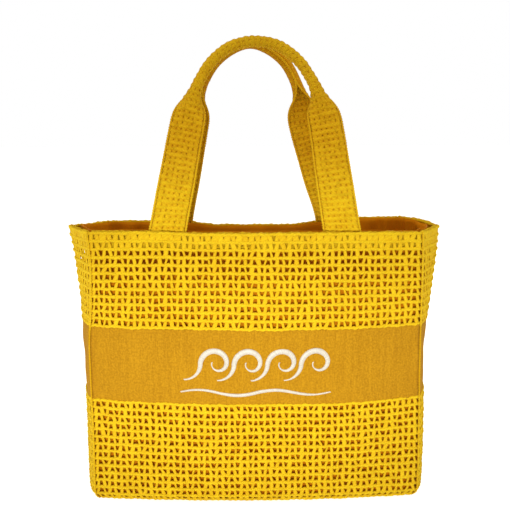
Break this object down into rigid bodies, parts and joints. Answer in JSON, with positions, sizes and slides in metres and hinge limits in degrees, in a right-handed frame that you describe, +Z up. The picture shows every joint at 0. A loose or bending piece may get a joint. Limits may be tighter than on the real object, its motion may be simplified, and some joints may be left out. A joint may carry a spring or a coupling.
{
  "type": "beach bag",
  "caption": "Open crocheted tote for the beach with a woven canvas band, a fabric lining and two long strap handles that swing over the rim.",
  "frame": {"origin": "under the middle of the base, on the surface the bag stands on", "axes": "+Z up to the rim and handles, -Y out of the front with the embroidery, +X to the right of the front"},
  "size_m": [0.452, 0.146, 0.5511],
  "materials": {
    "crochet": "matte yellow cotton crochet",
    "canvas": "matte ochre plain-weave canvas",
    "lining": "matte golden brown cotton",
    "embroidery": "soft satin off-white thread"
  },
  "bodies": {
    "bag": {"back_canvas_band": "canvas", "back_hem": "crochet", "back_left_side_seam": "crochet", "back_left_strap_end": "crochet", "back_lining": "lining", "back_lower_crochet": "crochet", "back_right_side_seam": "crochet", "back_right_strap_end": "crochet", "back_upper_crochet": "crochet", "base_crochet": "crochet", "base_lining": "lining", "embroidered_swash": "embroidery", "embroidered_wave_1": "embroidery", "embroidered_wave_2": "embroidery", "embroidered_wave_3": "embroidery", "embroidered_wave_4": "embroidery", "front_canvas_band": "canvas", "front_hem": "crochet", "front_left_side_seam": "crochet", "front_left_strap_end": "crochet", "front_lining": "lining", "front_lower_crochet": "crochet", "front_right_side_seam": "crochet", "front_right_strap_end": "crochet", "front_upper_crochet": "crochet", "left_canvas_band": "canvas", "left_hem": "crochet", "left_lining": "lining", "left_lower_crochet": "crochet", "left_upper_crochet": "crochet", "right_canvas_band": "canvas", "right_hem": "crochet", "right_lining": "lining", "right_lower_crochet": "crochet", "right_upper_crochet": "crochet"},
    "front_handle": {"front_grip_seam": "crochet", "front_handle_strap": "crochet"},
    "back_handle": {"back_grip_seam": "crochet", "back_handle_strap": "crochet"}
  },
  "joints": [
    {"name": "front_handle_swing", "type": "hinge", "parent": "bag", "child": "front_handle", "pos_m": [0, -0.05603, 0.331], "axis": [1, 0, 0], "range_deg": [0, 178]},
    {"name": "back_handle_swing", "type": "hinge", "parent": "bag", "child": "back_handle", "pos_m": [0, 0.04602, 0.331], "axis": [-1, 0, 0], "range_deg": [0, 178]}
  ]
}
